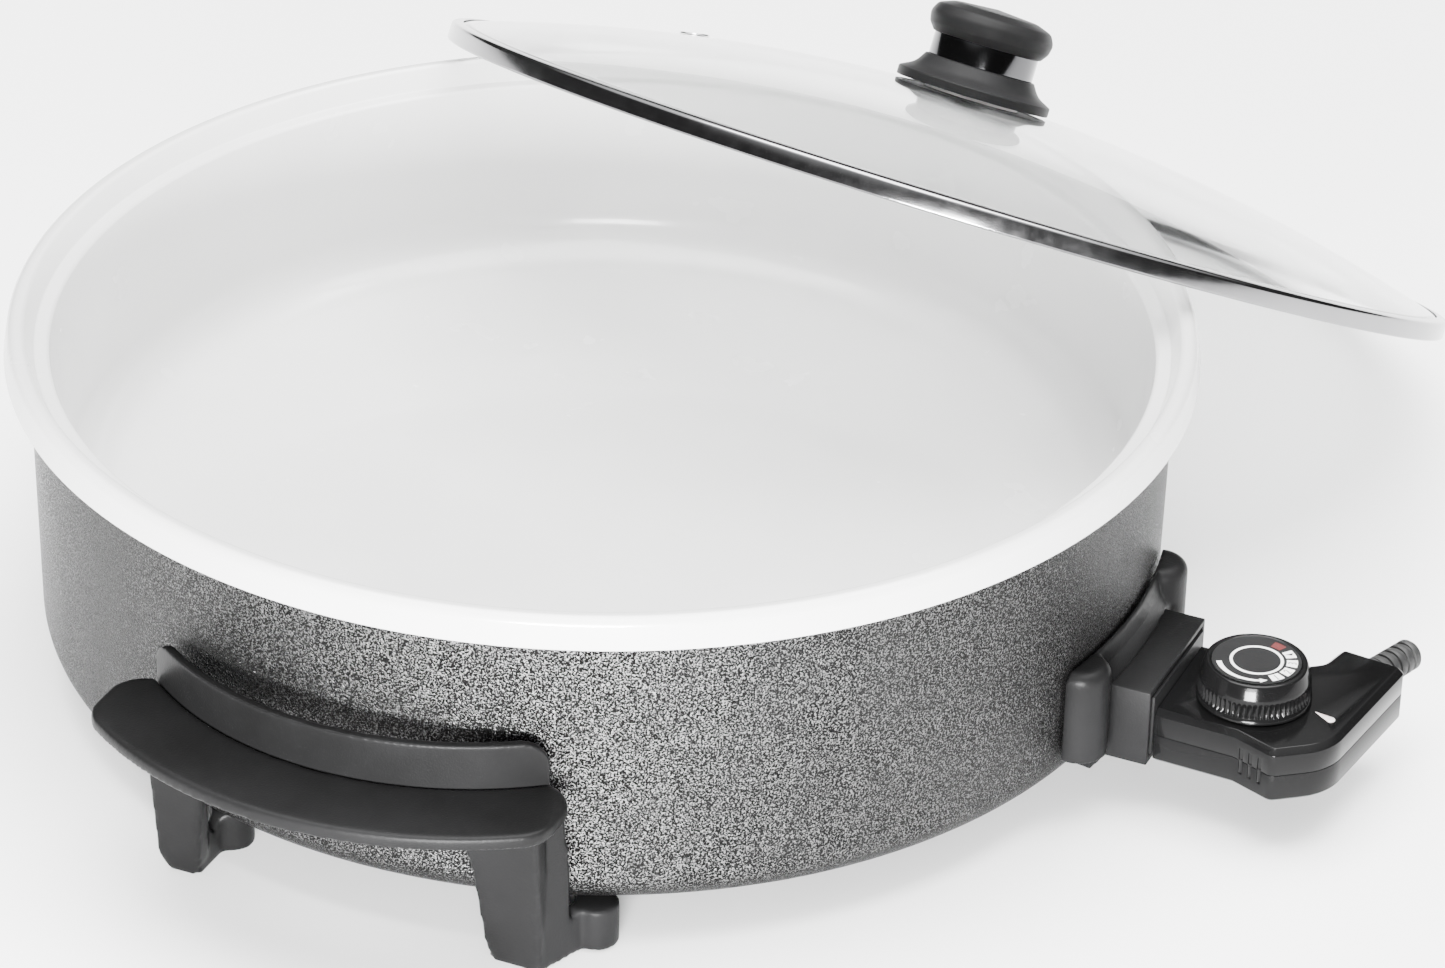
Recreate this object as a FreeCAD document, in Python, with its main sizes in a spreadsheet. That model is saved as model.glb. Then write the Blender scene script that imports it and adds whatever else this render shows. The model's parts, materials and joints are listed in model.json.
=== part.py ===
import FreeCAD, Part
import math
import os
import re
import Sketcher

# Round electric griddle: a deep ceramic-coated pan in a hammertone shell, two handles that carry the feet,
# a plug-in thermostat control at +X and a glass lid that leans on the rim behind the pan.
# Millimetres. Origin on the table under the middle of the pan, +Z up, handles at -Y (front) and +Y (back).

DIMENSIONS = {
    # pan bowl and its rolled rim
    "rim_radius": 220.0,
    "rim_top": 140.0,
    "lip_bottom": 128.0,
    "crest_outer": 218.0,
    "crest_inner": 212.8,
    "ledge_radius": 209.6,
    "ledge_top": 131.5,
    "mouth_radius": 203.5,
    "floor_radius": 196.5,
    "cooking_top": 60.0,
    "bowl_wall": 3.2,
    "bowl_floor": 5.0,
    "bowl_corner": 20.0,
    # hammertone shell and base
    "shell_radius": 211.0,
    "shell_foot": 209.5,
    "shell_bottom": 17.0,
    "shell_sheet": 1.0,
    "shell_corner": 12.0,
    "shell_opening": 150.0,
    "base_radius": 197.0,
    "base_sheet": 1.0,
    # handles, drawn at the front (-Y)
    "grip_centre": 114.0,
    "grip_outer": 147.0,
    "grip_half": 88.0,
    "grip_end_x": 74.0,
    "grip_end_y": 216.5,
    "grip_top": 73.0,
    "grip_thick": 5.2,
    "grip_round": 14.0,
    "guard_centre": 107.7,
    "guard_outer": 122.0,
    "guard_inner": 118.5,
    "guard_top": 89.7,
    "guard_sweep": 77.6,
    "guard_corner": 10.0,
    "shelf_outer": 128.0,
    "leg_face": 211.5,
    "leg_lean": 8.0,
    "leg_depth": 7.0,
    "post_radius": 8.0,
    "post_top": 16.9,
    # socket on the shell
    "plug_height": 37.3,
    "shroud_mouth": 230.6,
    "shroud_back": 205.0,
    "shroud_half": 28.7,
    "shroud_bottom": 22.0,
    "shroud_top": 52.6,
    "shroud_wall": 2.4,
    "flange_outer": 217.6,
    "flange_inner": 211.4,
    "flange_bottom": 22.6,
    "flange_top": 66.0,
    "flange_sweep": 21.8,
    "bead_x": 208.0,
    "bead_y": 39.6,
    "bead_radius": 10.5,
    "bead_bottom": 29.0,
    "pin_spread": 12.0,
    "pin_radius": 2.5,
    # heating element
    "element_radius": 105.0,
    "tube_radius": 4.0,
    "element_sweep": 320.0,
    # plug-in control
    "case_bottom": 22.0,
    "case_seam": 33.0,
    "case_top": 43.5,
    "case_wall": 2.0,
    "dial_x": 260.0,
    "probe_radius": 3.0,
    "probe_tip": 140.0,
    "knob_skirt": 20.9,
    "knob_face": 18.4,
    "knob_bottom": 43.9,
    "knob_top": 59.0,
    "spindle_radius": 2.5,
    # strain relief: its axis leaves the end of the arm
    "relief_x": 289.1,
    "relief_y": 45.95,
    "relief_length": 25.0,
    "relief_radius": 6.2,
    "relief_bore": 3.4,
    "relief_heading": 70.5,
    # lid, drawn about its own axis with the ring's lower edge at zero
    "lid_radius": 208.0,
    "ring_depth": 7.1,
    "ring_sheet": 0.8,
    "glass_radius": 206.9,
    "glass_thick": 3.8,
    "dome_top": 37.5,
    "dome_curve": 700.0,
    "knob_foot": 20.0,
    "knob_flare": 31.6,
    "knob_neck": 21.6,
    "knob_cap": 25.6,
    "vent_distance": 118.0,
    "vent_heading": -176.0,
    # where the lid leans
    "lid_x": 45.0,
    "lid_y": 225.5,
    "lid_z": 97.3,
    "lid_tilt": 27.6,
    "lid_heading": 78.8,
}

doc = FreeCAD.newDocument("griddle")
sheet = doc.addObject("Spreadsheet::Sheet", "dims")
for row, (alias, size) in enumerate(DIMENSIONS.items(), start=1):
    sheet.set(f"A{row}", alias)
    sheet.set(f"B{row}", str(size))
    sheet.setAlias(f"B{row}", alias)
doc.recompute()

parts = []


def size(alias):
    """A driving dimension's value, read back from the sheet."""
    return float(sheet.get(alias))


def formula(text):
    """Text with each driving dimension written as a reference to its cell."""
    return re.sub(r"[a-z_]+", lambda m: f"dims.{m[0]}" if m[0] in DIMENSIONS else m[0], text)


def bind(item, prop, amount):
    """Sets a property to a number, or binds it to a formula of the driving dimensions."""
    item.setExpression(prop, formula(str(amount)))


def move(item, x=0, y=0, z=0, axis=(0, 0, 1), turn=0):
    """Turns an object about an axis through its own origin, then puts that origin at x, y, z."""
    rotation = FreeCAD.Rotation(FreeCAD.Vector(*axis), turn)
    item.Placement = FreeCAD.Placement(FreeCAD.Vector(), rotation)
    for prop, amount in zip("xyz", (x, y, z)):
        bind(item, f"Placement.Base.{prop}", amount)
    return item


def primitive(kind, name, sizes, **place):
    item = doc.addObject(f"Part::{kind}", name)
    for prop, amount in sizes.items():
        bind(item, prop, amount)
    return move(item, **place)


def rod(name, radius, length, **place):
    """A round bar that starts at its place and runs along its own Z."""
    return primitive("Cylinder", name, {"Radius": radius, "Height": length}, **place)


def block(name, x, y, z):
    """A box between pairs of low and high limits."""
    spans = {p: f"({b}) - ({a})" for p, (a, b) in zip(("Length", "Width", "Height"), (x, y, z))}
    return primitive("Box", name, spans, x=x[0], y=y[0], z=z[0])


def join(name, *items):
    item = doc.addObject("Part::MultiFuse", name)
    item.Shapes = list(items)
    return item


def cut(name, base, *tools):
    item = doc.addObject("Part::Cut", name)
    item.Base = base
    item.Tool = tools[0] if len(tools) == 1 else join(name + "_tools", *tools)
    return item


def overlap(name, *items):
    item = doc.addObject("Part::MultiCommon", name)
    item.Shapes = list(items)
    return item


def group(name, *items):
    """Several separate solids kept as one sub-part."""
    item = doc.addObject("Part::Compound", name)
    item.Links = list(items)
    return item


def sub_part(item, label):
    """Names a finished sub-part and puts it on the list of what is written."""
    item.Label = label
    parts.append(item)
    return item


def outline(body, plane, points, level=0):
    """A closed sketch whose corners are bound to the driving dimensions."""
    sketch = body.newObject("Sketcher::SketchObject", body.Name + "_sketch")
    origin = [f for f in body.Origin.OriginFeatures if f.Role == plane][0]
    sketch.AttachmentSupport = [(origin, "")]
    sketch.MapMode = "FlatFace"
    bind(sketch, "AttachmentOffset.Base.z", level)
    count = len(points)
    ring = [FreeCAD.Vector(math.cos(math.tau * i / count), math.sin(math.tau * i / count)) for i in range(count)]
    for i in range(count):
        sketch.addGeometry(Part.LineSegment(ring[i], ring[(i + 1) % count]))
    for i in range(count):
        sketch.addConstraint(Sketcher.Constraint("Coincident", i, 2, (i + 1) % count, 1))
    for i, corner in enumerate(points):
        for way, amount in zip(("DistanceX", "DistanceY"), corner):
            row = sketch.addConstraint(Sketcher.Constraint(way, -1, 1, i, 1, 1.0))
            bind(sketch, f"Constraints[{row}]", amount)
    return sketch


def turned(name, points, sweep=360):
    """A body turned about Z from a closed outline of (radius, height) corners."""
    body = doc.addObject("PartDesign::Body", name)
    sketch = outline(body, "XZ_Plane", points)
    feature = body.newObject("PartDesign::Revolution", name + "_turn")
    feature.Profile = sketch
    feature.ReferenceAxis = (sketch, ["V_Axis"])
    bind(feature, "Angle", sweep)
    doc.recompute()
    return body


def padded(name, plane, points, level, thickness):
    """A body of one thickness, padded from a closed outline in one of the origin planes."""
    body = doc.addObject("PartDesign::Body", name)
    sketch = outline(body, plane, points, level)
    feature = body.newObject("PartDesign::Pad", name + "_pad")
    feature.Profile = sketch
    bind(feature, "Length", thickness)
    doc.recompute()
    return body


def soften(body, kind, amount, wanted):
    """Fillets or chamfers the edges of the body's tip for which wanted(edge) is true."""
    base = body.Tip
    names = [f"Edge{i}" for i, edge in enumerate(base.Shape.Edges, start=1) if wanted(edge)]
    if not names:
        raise ValueError(f"{body.Name}: no edge to soften")
    feature = body.newObject(f"PartDesign::{kind}", f"{body.Name}_{kind.lower()}")
    feature.Base = (base, names)
    bind(feature, "Radius" if kind == "Fillet" else "Size", amount)
    doc.recompute()
    return body


def hoop(radius, height, slack=0.3):
    """Picks circular edges about Z by radius and height."""
    def wanted(edge):
        curve = edge.Curve
        return (isinstance(curve, Part.Circle) and abs(curve.Radius - radius) < slack
                and abs(edge.BoundBox.ZMax - height) < slack)
    return wanted


def upright(x, y, slack=0.6):
    """Picks the vertical straight edge that stands at x, y."""
    def wanted(edge):
        box = edge.BoundBox
        return (box.XLength < slack and box.YLength < slack and box.ZLength > 2
                and math.hypot(box.Center.x - x, box.Center.y - y) < slack)
    return wanted


def pan_bowl():
    body = turned("bowl", [
        ("0", "cooking_top"),
        ("floor_radius", "cooking_top"),
        ("mouth_radius", "ledge_top"),
        ("ledge_radius", "ledge_top"),
        ("crest_inner", "rim_top"),
        ("crest_outer", "rim_top"),
        ("rim_radius", "lip_bottom"),
        ("rim_radius - 2.6", "lip_bottom"),
        ("rim_radius - 3.6", "lip_bottom + 0.6"),
        ("mouth_radius + bowl_wall", "lip_bottom + 0.6"),
        ("floor_radius + bowl_wall", "cooking_top - bowl_floor"),
        ("0", "cooking_top - bowl_floor"),
    ])
    soften(body, "Fillet", "bowl_corner", hoop(size("floor_radius"), size("cooking_top")))
    under = size("cooking_top") - size("bowl_floor")
    soften(body, "Fillet", "bowl_corner", hoop(size("floor_radius") + size("bowl_wall"), under))
    soften(body, "Fillet", 2.0, hoop(size("crest_inner"), size("rim_top")))
    soften(body, "Fillet", 3.4, hoop(size("crest_outer"), size("rim_top")))
    soften(body, "Fillet", 1.4, hoop(size("mouth_radius"), size("ledge_top")))
    soften(body, "Fillet", 1.2, hoop(size("rim_radius"), size("lip_bottom")))
    sub_part(body, "pan_bowl")


def foot_screw_places():
    """Where the screwed handle posts stand under the pan: x, y of each, front then back."""
    front = [(-57.0, -186.5), (57.0, -186.5)]
    return front, [(-x, -y) for x, y in front]


def base_screw_places():
    return [(165 * math.cos(a), 165 * math.sin(a)) for a in (math.pi / 4 + i * math.pi / 2 for i in range(4))]


def shell_and_base():
    body = turned("shell", [
        ("shell_radius", "lip_bottom + 0.4"),
        ("shell_foot", "shell_bottom"),
        ("shell_opening", "shell_bottom"),
        ("shell_opening", "shell_bottom + shell_sheet"),
        ("shell_foot - shell_sheet", "shell_bottom + shell_sheet"),
        ("shell_radius - shell_sheet", "lip_bottom + 0.4"),
    ])
    soften(body, "Fillet", "shell_corner", hoop(size("shell_foot"), size("shell_bottom")))
    inner = size("shell_foot") - size("shell_sheet")
    soften(body, "Fillet", "shell_corner - shell_sheet", hoop(inner, size("shell_bottom") + size("shell_sheet")))
    front, back = foot_screw_places()
    window = block("shell_window", (180, 216), ("-shroud_half - 0.4", "shroud_half + 0.4"),
                   ("shroud_bottom - 0.4", "shroud_top + 0.4"))
    holes = [rod(f"shell_hole_{i}", 2.3, 6, x=x, y=y, z="shell_bottom - 2")
             for i, (x, y) in enumerate(front + back + base_screw_places())]
    sub_part(cut("shell_cut", body, window, *holes), "outer_shell")

    level = "shell_bottom + shell_sheet"
    disc = rod("base_disc", "base_radius", "base_sheet", z=level)
    holes = [rod(f"base_hole_{i}", 2.3, 6, x=x, y=y, z="shell_bottom - 2")
             for i, (x, y) in enumerate(front + back + base_screw_places())]
    vents = [rod(f"base_vent_{i}", 4, 6, x=70 * math.cos(a), y=70 * math.sin(a), z="shell_bottom - 2")
             for i, a in enumerate(math.tau * k / 8 for k in range(8))]
    sub_part(cut("base_cut", disc, *holes, *vents), "base_plate")

    pillars, screws = [], []
    for i, (x, y) in enumerate(base_screw_places()):
        low, high = f"{level} + base_sheet", "cooking_top - bowl_floor"
        pillar = rod(f"pillar_{i}", 4, f"{high} - ({low})", x=x, y=y, z=low)
        bore = rod(f"pillar_bore_{i}", 2, 14, x=x, y=y, z=f"{low} - 1")
        pillars.append(cut(f"pillar_cut_{i}", pillar, bore))
        head = rod(f"base_head_{i}", 4, 2, x=x, y=y, z="shell_bottom - 2")
        shank = rod(f"base_shank_{i}", 1.95, 13, x=x, y=y, z="shell_bottom")
        screws.append(join(f"base_screw_{i}", head, shank))
    sub_part(group("pillars", *pillars), "base_pillars")
    sub_part(group("base_screw_set", *screws), "base_screws")


def tube_between(name, radius, start, end):
    """A straight tube between two points with a ball at its far end."""
    way = FreeCAD.Vector(*end) - FreeCAD.Vector(*start)
    tube = doc.addObject("Part::Cylinder", name)
    bind(tube, "Radius", radius)
    tube.Height = way.Length
    tube.Placement = FreeCAD.Placement(FreeCAD.Vector(*start), FreeCAD.Rotation(FreeCAD.Vector(0, 0, 1), way))
    ball = primitive("Sphere", name + "_ball", {"Radius": radius}, x=end[0], y=end[1], z=end[2])
    return [tube, ball]


def heater():
    height = size("cooking_top") - size("bowl_floor") - size("tube_radius") - 0.1
    ring = doc.addObject("Part::Torus", "element_ring")
    bind(ring, "Radius1", "element_radius")
    bind(ring, "Radius2", "tube_radius")
    bind(ring, "Angle3", "element_sweep")
    move(ring, z=height, turn=(360 - size("element_sweep")) / 2)
    half = math.radians((360 - size("element_sweep")) / 2)
    pieces = [ring]
    for side in (-1, 1):
        reach = size("element_radius")
        start = (reach * math.cos(half), side * reach * math.sin(half), height)
        knee = (160.0, side * size("pin_spread"), size("plug_height"))
        end = (196.0, knee[1], knee[2])
        name = "element_left" if side < 0 else "element_right"
        pieces.append(primitive("Sphere", name + "_start", {"Radius": "tube_radius"}, x=start[0], y=start[1], z=height))
        pieces += tube_between(name + "_slope", "tube_radius", start, knee)
        pieces.append(tube_between(name + "_end", "tube_radius", knee, end)[0])
    sub_part(join("element", *pieces), "heating_element")

    clips = []
    for i, a in enumerate(math.radians(d) for d in (90, 180, 270)):
        x, y = size("element_radius") * math.cos(a), size("element_radius") * math.sin(a)
        top = height + size("tube_radius")
        strap = block(f"clip_strap_{i}", (-12, 12), (-4, 4), (height - size("tube_radius") - 1.2, top))
        tunnel = rod(f"clip_tunnel_{i}", "tube_radius", 40, y=-20, z=height, axis=(1, 0, 0), turn=-90)
        relief = block(f"clip_relief_{i}", ("-tube_radius", "tube_radius"), (-20, 20), (height, top + 1))
        clip = cut(f"clip_{i}", strap, tunnel, relief)
        clips.append(move(clip, x=x, y=y, turn=math.degrees(a)))
    sub_part(group("clips", *clips), "element_clips")

    boss = block("sensor_boss", (112, 182), (-7, 7), (30, "cooking_top - bowl_floor"))
    bore = rod("sensor_bore", "probe_radius + 1", 90, x=105, z="plug_height", axis=(0, 1, 0), turn=90)
    sub_part(cut("sensor_cut", boss, bore), "sensor_block")


def socket():
    pins = [rod(f"pin_{side}", "pin_radius", 31, x=196, y=f"{side} * pin_spread", z="plug_height",
                axis=(0, 1, 0), turn=90) for side in (-1, 1)]
    sub_part(group("pins", *pins), "contact_pins")

    slab = block("terminal_slab", (206, 213), (-24, 24), (26, 48.6))
    holes = [rod(f"terminal_hole_{i}", r, 20, x=200, y=y, z="plug_height", axis=(0, 1, 0), turn=90)
             for i, (r, y) in enumerate(((2.5, -12), (2.5, 12), (4.5, 0), (1.6, -20), (1.6, 20)))]
    sub_part(cut("terminal_cut", slab, *holes), "terminal_block")

    inside = ("-shroud_half + shroud_wall", "shroud_half - shroud_wall")
    case = block("shroud_case", ("shroud_back", "shroud_mouth"), ("-shroud_half", "shroud_half"),
                 ("shroud_bottom", "shroud_top"))
    mouth = block("shroud_hollow", (213, "shroud_mouth + 1"), inside,
                  ("shroud_bottom + shroud_wall", "shroud_top - shroud_wall"))
    rear = block("shroud_rear", ("shroud_back - 1", 213), (-24, 24), (26, 48.6))
    sub_part(cut("shroud_cut", case, mouth, rear), "socket_shroud")

    spring = block("earth_strip", (213, 228), (-3, 3), (48.9, 49.7))
    foot = block("earth_foot", (213, 213.8), (-3, 3), (42.8, 49.7))
    sub_part(join("earth_spring", spring, foot), "earth_contact")

    body = turned("flange", [
        ("flange_inner", "flange_bottom"),
        ("flange_outer", "flange_bottom"),
        ("flange_outer", "shroud_top"),
        ("flange_outer - 1.4", "shroud_top + 2.4"),
        ("flange_outer - 3.2", "shroud_top + 6.4"),
        ("flange_outer - 4.6", "flange_top - 1"),
        ("flange_outer - 5.4", "flange_top"),
        ("flange_inner", "flange_top"),
    ], "flange_sweep")
    move(body, turn=-size("flange_sweep") / 2)
    beads = []
    for side in (-1, 1):
        bead = rod(f"bead_{side}", "bead_radius", "flange_top - bead_bottom", x="bead_x", y=f"{side} * bead_y",
                   z="bead_bottom")
        beads.append(rounded(f"bead_round_{side}", bead, 4.5, hoop(size("bead_radius"), size("flange_top"))))
    seat = rod("flange_seat", "flange_inner", 80)
    gate = block("flange_gate", (200, 240), ("-shroud_half - 0.1", "shroud_half + 0.1"),
                 ("flange_bottom - 5", "shroud_top + 0.1"))
    sub_part(cut("flange_cut", join("flange_blank", body, *beads), seat, gate), "socket_flange")

    screws = []
    for side in (-1, 1):
        shank = rod(f"socket_shank_{side}", 1.55, 8, x=205.4, y=20 * side, z="plug_height", axis=(0, 1, 0), turn=90)
        head = rod(f"socket_head_{side}", 3, 1.6, x=213, y=20 * side, z="plug_height", axis=(0, 1, 0), turn=90)
        screws.append(join(f"socket_screw_{side}", shank, head))
    sub_part(group("socket_screw_set", *screws), "socket_screws")


def sector(name, centre, outer, inner, low, high, sweep):
    """Part of a flat ring about a centre on the -Y axis, spread evenly about the -Y direction."""
    rim = rod(f"{name}_rim", outer, f"({high}) - ({low})", y=f"-{centre}", z=low, turn=-90 - size(sweep) / 2)
    bind(rim, "Angle", sweep)
    core = rod(f"{name}_core", inner, f"({high}) - ({low})", y=f"-{centre}", z=low)
    return cut(name, rim, core)


def rounded(name, base, radius, wanted):
    """A solid with its chosen edges rounded."""
    doc.recompute()
    item = doc.addObject("Part::Fillet", name)
    item.Base = base
    item.Edges = [(i, radius, radius) for i, edge in enumerate(base.Shape.Edges, start=1) if wanted(edge)]
    return item


def leg(name, outline_points, cheeks, posts):
    """One foot: a leaning front wall, cheeks that run back from it and round posts under the pan."""
    top = size("grip_top") - size("grip_thick")
    front = padded(f"{name}_front", "XZ_Plane", outline_points, 150, 100)
    low = min(x for x, _ in outline_points) - 10
    flank = padded(f"{name}_flank", "YZ_Plane", [
        ("-leg_face - leg_lean", top), ("-leg_face", 0), ("leg_depth - leg_face", 0),
        ("leg_depth - leg_face - leg_lean", top),
    ], low, 60)
    pieces = [overlap(f"{name}_wall", front, flank)]
    for i, (root, (x, y), thick, profile) in enumerate(cheeks):
        start = FreeCAD.Vector(root, 4.5 - size("leg_face"), 0)
        run = FreeCAD.Vector(x, y, 0) - start
        reach = run.Length
        points = [(-3, 0), (reach - 2, 0), (reach, 1), (reach, "post_top"), (reach - 7, "post_top")] + profile
        cheek = padded(f"{name}_cheek_{i}", "XZ_Plane", points, -thick / 2, thick)
        cheek.Placement = FreeCAD.Placement(start, FreeCAD.Rotation(FreeCAD.Vector(1, 0, 0), run))
        pieces.append(cheek)
    for i, (x, y) in enumerate(posts):
        pieces.append(rod(f"{name}_post_{i}", "post_radius", "post_top - 0.6", x=x, y=y, z=0.6))
    return pieces


def legs(label):
    """The left foot stands on one inner post, the right one on an inner and an outer post."""
    top = size("grip_top") - size("grip_thick")
    inner = [(7, 11), (4.5, 17), (1.5, 26), (-4, top), (-9, top)]
    outer = [(13, 13.5), (11, 17), (11, 34), (7, top), (-9, top)]
    (left_x, left_y), (right_x, right_y) = foot_screw_places()[0]
    left = leg(f"{label}_left", [(-46, top), (-47.5, top - 8), (-53, 38), (-56.4, 5), (-59.4, 0), (-69, 0), (-72.8, 5),
                                 (-73.6, top)],
               [(-59.4, (left_x - 1.5, left_y), 5, inner)], [(left_x, left_y)])
    right = leg(f"{label}_right", [(46, top), (47.5, top - 8), (53, 38), (56.4, 5), (59.4, 0), (74, 0), (77.5, 4),
                                   (79, top)],
                [(59.4, (right_x + 1.5, right_y), 5, inner), (75.5, (83.0, -187.0), 6, outer)],
                [(right_x, right_y), (86.0, -185.0)])
    return left + right


def handle(label, turn):
    """A grip with its legs and guard, drawn at the front and turned into place."""
    low = "grip_top - grip_thick"
    disc = rod(f"{label}_disc", "grip_outer", "grip_thick", y="-grip_centre", z=low)
    sides = block(f"{label}_sides", ("-grip_half", "grip_half"), (-280, -180), (low, "grip_top"))
    arch = rod(f"{label}_arch", "guard_outer + 0.3", 40, y="-guard_centre", z=50)
    corners = []
    for side in (-1, 1):
        near, far = sorted((side * size("grip_end_x"), side * 96))
        corner = block(f"{label}_corner_{side}", (near, far), ("-grip_end_y", -180), (60, 80))
        bead = rod(f"{label}_end_{side}", "grip_round", 40, x=f"{side} * grip_end_x", y="-grip_end_y", z=50)
        corners.append(cut(f"{label}_round_{side}", corner, bead))
    plate = cut(f"{label}_plate", overlap(f"{label}_flat", disc, sides), arch, *corners)
    plate = rounded(f"{label}_ends", plate, size("grip_round"),
                    lambda e: e.BoundBox.ZLength > 3 and e.BoundBox.XLength < 0.01 and e.BoundBox.Center.y < -225)
    plate = rounded(f"{label}_edges", plate, 1.3,
                    lambda e: e.BoundBox.ZLength < 0.01 and e.BoundBox.ZMax > size("grip_top") - 0.1
                    and not hoop(size("guard_outer") + 0.3, size("grip_top"))(e))
    shelf = sector(f"{label}_shelf", "guard_centre", "shelf_outer", "guard_inner", f"{low} - 4", low, "guard_sweep")
    blank = join(f"{label}_blank", plate, shelf, *legs(label))
    front, _ = foot_screw_places()
    bores = []
    for i, (x, y) in enumerate(front):
        bores.append(rod(f"{label}_bore_{i}", 2.2, 30, x=x, y=y, z=-1))
        bores.append(rod(f"{label}_sink_{i}", 4.3, 8, x=x, y=y, z=-1))
    molding = cut(f"{label}_molding", blank, *bores)
    sub_part(move(molding, turn=turn), label)

    guard = sector(f"{label}_guard_blank", "guard_centre", "guard_outer", "guard_inner", low, "guard_top",
                   "guard_sweep")
    guard = rounded(f"{label}_guard_round", guard, size("guard_corner"),
                    lambda e: e.BoundBox.ZLength < 0.01 and e.BoundBox.ZMax > size("guard_top") - 0.1 and e.Length < 6)
    sub_part(move(guard, turn=turn), f"{label}_guard")

    screws, nuts = [], []
    for i, (x, y) in enumerate(front):
        head = rod(f"{label}_head_{i}", 3.9, 3, x=x, y=y, z=4)
        shank = rod(f"{label}_shank_{i}", 2, 18, x=x, y=y, z=7)
        screws.append(join(f"{label}_screw_{i}", head, shank))
        nut = doc.addObject("Part::Prism", f"{label}_nut_{i}")
        nut.Polygon = 6
        nut.Circumradius = 3.7
        nut.Height = 3
        move(nut, x=x, y=y, z="shell_bottom + shell_sheet + base_sheet")
        nuts.append(cut(f"{label}_nut_cut_{i}", nut, rod(f"{label}_thread_{i}", 2, 6, x=x, y=y, z=19)))
    sub_part(move(group(f"{label}_screw_set", *screws), turn=turn), f"{label}_screws")
    sub_part(move(group(f"{label}_nut_set", *nuts), turn=turn), f"{label}_nuts")


CASE_CORNERS = [(231.4, -24.5), (262.0, -25.6), (278.5, -32.0), (296.0, -18.5), (303.6, 43.8), (278.0, 46.6),
                (275.0, 33.5), (266.5, 27.0), (231.4, 26.0)]
CASE_ROUNDS = {2: 4.0, 3: 22.0, 6: 6.0, 7: 6.0, 4: 3.2, 5: 3.2}


def case_blank(name, low, high, inset=0.0):
    """The control's outline, padded between two heights; an inset one fits inside the walls."""
    corners = CASE_CORNERS
    if inset:
        wire = Part.makePolygon([FreeCAD.Vector(x, y) for x, y in CASE_CORNERS + CASE_CORNERS[:1]])
        inner = wire.makeOffset2D(-inset, join=2)
        corners = [(v.X, v.Y) for v in inner.OrderedVertexes]
    body = padded(name, "XY_Plane", corners, low, f"({high}) - ({low})")
    if not inset:
        for corner, radius in CASE_ROUNDS.items():
            soften(body, "Fillet", radius, upright(*CASE_CORNERS[corner]))
    return body


def relief_rod(name, radius, start, length):
    """A round bar on the strain relief's axis, from a distance along it."""
    way = math.radians(size("relief_heading"))
    item = doc.addObject("Part::Cylinder", name)
    bind(item, "Radius", radius)
    bind(item, "Height", length)
    foot = FreeCAD.Vector(size("relief_x") + start * math.cos(way), size("relief_y") + start * math.sin(way),
                          size("case_seam"))
    direction = FreeCAD.Vector(math.cos(way), math.sin(way), 0)
    item.Placement = FreeCAD.Placement(foot, FreeCAD.Rotation(FreeCAD.Vector(0, 0, 1), direction))
    return item


def lens_blank(name, low, high):
    body = padded(name, "XY_Plane", [(283.4, -0.1), (290.6, -5.0), (292.6, -1.4)], low, high - low)
    for x, y in ((290.6, -5.0), (292.6, -1.4)):
        soften(body, "Fillet", 1.6, upright(x, y))
    return body


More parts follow.
